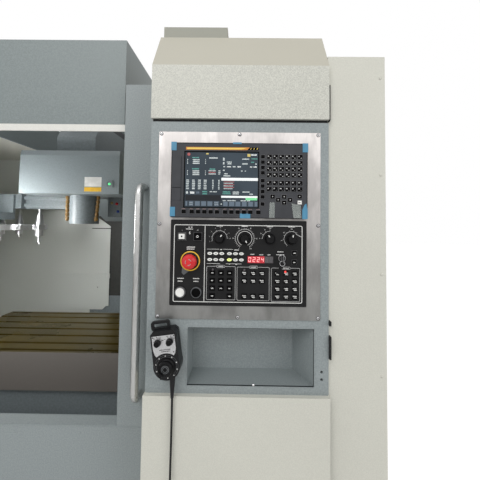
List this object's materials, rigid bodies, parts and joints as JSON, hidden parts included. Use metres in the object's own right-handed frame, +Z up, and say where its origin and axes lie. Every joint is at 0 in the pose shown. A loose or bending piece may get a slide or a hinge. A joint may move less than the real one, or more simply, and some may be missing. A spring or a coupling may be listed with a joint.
{
  "type": "vertical machining center",
  "caption": "Vertical machining centre with sliding doors, a fixed operator station with screen and key panel, a hand wheel pendant, a cross table, a tool drum and a rear cabinet.",
  "frame": {"origin": "middle of the machine's plan on the floor", "axes": "+X to the operator's right, +Y away from the operator towards the rear, +Z up"},
  "size_m": [2.4, 1.9614, 2.62],
  "materials": {
    "blue_grey_paint": "satin",
    "cream_paint": "satin",
    "beige_paint": "satin",
    "light_grey_paint": "satin",
    "dark_paint": "satin",
    "grey_casting": "satin",
    "stainless": "brushed",
    "chrome_steel": "polished",
    "dark_steel": "satin",
    "ground_steel": "ground",
    "ground_iron": "ground",
    "drum_aluminium": "satin",
    "grey_plastic": "matte",
    "light_plastic": "matte",
    "black_plastic": "matte",
    "red_plastic": "gloss",
    "orange_plastic": "gloss",
    "screen_glass": "gloss",
    "window_glass": "clear",
    "brass_key": "satin",
    "cord_rubber": "matte"
  },
  "bodies": {
    "frame": {"operator_box": "blue_grey_paint", "operator_hood": "beige_paint", "cable_duct": "beige_paint", "face_plate": "stainless", "face_screws": "chrome_steel", "display_unit": "grey_plastic", "display_screen": "screen_glass", "display_keys": "grey_plastic", "control_panel": "black_plastic", "panel_keys": "black_plastic", "pendant_body": "black_plastic", "pendant_cord": "cord_rubber", "bed": "grey_casting", "leveling_feet": "dark_steel", "column": "grey_casting", "axis_motors": "dark_paint", "magazine_bracket": "grey_casting", "left_enclosure": "cream_paint", "right_enclosure": "cream_paint", "upper_shroud": "blue_grey_paint", "door_rail": "cream_paint", "front_apron": "blue_grey_paint", "inner_guard": "light_grey_paint", "electric_cabinet": "cream_paint"},
    "estop": {"estop_button": "red_plastic"},
    "start": {"start_button": "light_plastic"},
    "hold": {"hold_button": "black_plastic"},
    "power_on": {"power_on_button": "light_plastic"},
    "power_off": {"power_off_button": "black_plastic"},
    "mode_selector": {"mode_knob": "black_plastic"},
    "feed_selector": {"feed_knob": "black_plastic"},
    "rapid_selector": {"rapid_knob": "black_plastic"},
    "spindle_selector": {"spindle_knob": "black_plastic"},
    "key": {"protect_key": "brass_key"},
    "hand_wheel": {"pendant_wheel": "black_plastic"},
    "axis_selector": {"pendant_axis_knob": "black_plastic"},
    "step_selector": {"pendant_step_knob": "black_plastic"},
    "saddle_unit": {"saddle": "grey_casting"},
    "table_unit": {"table": "ground_iron"},
    "x_drive": {"x_screw": "ground_steel"},
    "y_drive": {"y_screw": "ground_steel"},
    "z_drive": {"z_screw": "ground_steel"},
    "head_unit": {"head": "grey_casting", "head_cover": "blue_grey_paint", "z_cover_upper": "stainless", "coolant_hoses": "orange_plastic", "spindle_motor": "dark_paint"},
    "spindle_unit": {"spindle": "ground_steel"},
    "cover_middle": {"z_cover_middle": "stainless"},
    "cover_lower": {"z_cover_lower": "stainless"},
    "carriage": {"magazine_carriage": "grey_casting"},
    "drum": {"magazine_drum": "drum_aluminium"},
    "right_door_unit": {"right_door": "blue_grey_paint", "right_window": "window_glass", "right_handle": "stainless"},
    "left_door_unit": {"left_door": "blue_grey_paint", "left_window": "window_glass", "left_handle": "stainless"},
    "cabinet_door_unit": {"cabinet_door": "cream_paint"},
    "tank": {"coolant_tank": "dark_paint"}
  },
  "joints": [
    {"name": "estop_push", "type": "slide", "parent": "frame", "child": "estop", "axis": [0, 1, 0], "range_m": [0, 0.004], "stiffness_N_per_m": 800},
    {"name": "start_push", "type": "slide", "parent": "frame", "child": "start", "axis": [0, 1, 0], "range_m": [0, 0.004], "stiffness_N_per_m": 800},
    {"name": "hold_push", "type": "slide", "parent": "frame", "child": "hold", "axis": [0, 1, 0], "range_m": [0, 0.004], "stiffness_N_per_m": 800},
    {"name": "power_on_push", "type": "slide", "parent": "frame", "child": "power_on", "axis": [0, 1, 0], "range_m": [0, 0.004], "stiffness_N_per_m": 800},
    {"name": "power_off_push", "type": "slide", "parent": "frame", "child": "power_off", "axis": [0, 1, 0], "range_m": [0, 0.004], "stiffness_N_per_m": 800},
    {"name": "mode_turn", "type": "hinge", "parent": "frame", "child": "mode_selector", "pos_m": [0.716, -0.91635, 1.38], "axis": [0, 1, 0], "range_deg": [-126, 54]},
    {"name": "feed_turn", "type": "hinge", "parent": "frame", "child": "feed_selector", "pos_m": [0.788, -0.91635, 1.38], "axis": [0, 1, 0], "range_deg": [-315, 5]},
    {"name": "rapid_turn", "type": "hinge", "parent": "frame", "child": "rapid_selector", "pos_m": [0.86, -0.91635, 1.38], "axis": [0, 1, 0], "range_deg": [-35, 85]},
    {"name": "spindle_override_turn", "type": "hinge", "parent": "frame", "child": "spindle_selector", "pos_m": [0.922, -0.91635, 1.38], "axis": [0, 1, 0], "range_deg": [-127, 113]},
    {"name": "key_turn", "type": "hinge", "parent": "frame", "child": "key", "pos_m": [0.895, -0.91635, 1.325], "axis": [0, 1, 0], "range_deg": [0, 90]},
    {"name": "hand_wheel_turn", "type": "hinge", "parent": "frame", "child": "hand_wheel", "pos_m": [0.581, -0.96365, 1.034], "axis": [0, 1, 0], "continuous": true},
    {"name": "axis_selector_turn", "type": "hinge", "parent": "frame", "child": "axis_selector", "pos_m": [0.55548, -0.95365, 1.09706], "axis": [0, 1, 0], "range_deg": [-65, 65]},
    {"name": "step_selector_turn", "type": "hinge", "parent": "frame", "child": "step_selector", "pos_m": [0.58815, -0.95365, 1.10165], "axis": [0, 1, 0], "range_deg": [-80, 0]},
    {"name": "saddle_y", "type": "slide", "parent": "frame", "child": "saddle_unit", "axis": [0, 1, 0], "range_m": [-0.14, 0.35]},
    {"name": "table_x", "type": "slide", "parent": "saddle_unit", "child": "table_unit", "axis": [1, 0, 0], "range_m": [-0.4, 0.4]},
    {"name": "head_z", "type": "slide", "parent": "frame", "child": "head_unit", "axis": [0, 0, 1], "range_m": [-0.38, 0.12]},
    {"name": "x_screw_turn", "type": "hinge", "parent": "saddle_unit", "child": "x_drive", "pos_m": [-0.085, -0.27935, 0.746], "axis": [1, 0, 0], "continuous": true},
    {"name": "y_screw_turn", "type": "hinge", "parent": "frame", "child": "y_drive", "pos_m": [-0.085, 0, 0.52], "axis": [0, 1, 0], "continuous": true},
    {"name": "z_screw_turn", "type": "hinge", "parent": "frame", "child": "z_drive", "pos_m": [-0.085, 0.46565, 1.5], "axis": [0, 0, 1], "continuous": true},
    {"name": "spindle_turn", "type": "hinge", "parent": "head_unit", "child": "spindle_unit", "pos_m": [-0.085, -0.17935, 1.5], "axis": [0, 0, 1], "continuous": true},
    {"name": "cover_middle_z", "type": "slide", "parent": "frame", "child": "cover_middle", "axis": [0, 0, 1], "range_m": [-0.254, 0.0805]},
    {"name": "cover_lower_z", "type": "slide", "parent": "frame", "child": "cover_lower", "axis": [0, 0, 1], "range_m": [-0.127, 0.0405]},
    {"name": "carriage_x", "type": "slide", "parent": "frame", "child": "carriage", "axis": [1, 0, 0], "range_m": [0, 0.3]},
    {"name": "drum_turn", "type": "hinge", "parent": "carriage", "child": "drum", "pos_m": [-0.65, -0.17935, 1.4], "axis": [0, 0, 1], "continuous": true},
    {"name": "right_door_x", "type": "slide", "parent": "frame", "child": "right_door_unit", "axis": [1, 0, 0], "range_m": [-0.478, 0]},
    {"name": "left_door_x", "type": "slide", "parent": "frame", "child": "left_door_unit", "axis": [-1, 0, 0], "range_m": [-0.478, 0]},
    {"name": "cabinet_door_turn", "type": "hinge", "parent": "frame", "child": "cabinet_door_unit", "pos_m": [1.189, 0.81465, 1.1], "axis": [0, 0, -1], "range_deg": [0, 110]},
    {"name": "tank_roll", "type": "slide", "parent": "frame", "child": "tank", "axis": [0, 1, 0], "range_m": [0, 0.6]}
  ],
  "couplings": [
    {"joint": "x_screw_turn", "follows": "table_x", "rad_per_m": -392.7},
    {"joint": "y_screw_turn", "follows": "saddle_y", "rad_per_m": -392.7},
    {"joint": "z_screw_turn", "follows": "head_z", "rad_per_m": -392.7},
    {"joint": "cover_middle_z", "follows": "head_z", "ratio": 0.66667},
    {"joint": "cover_lower_z", "follows": "head_z", "ratio": 0.33333}
  ]
}
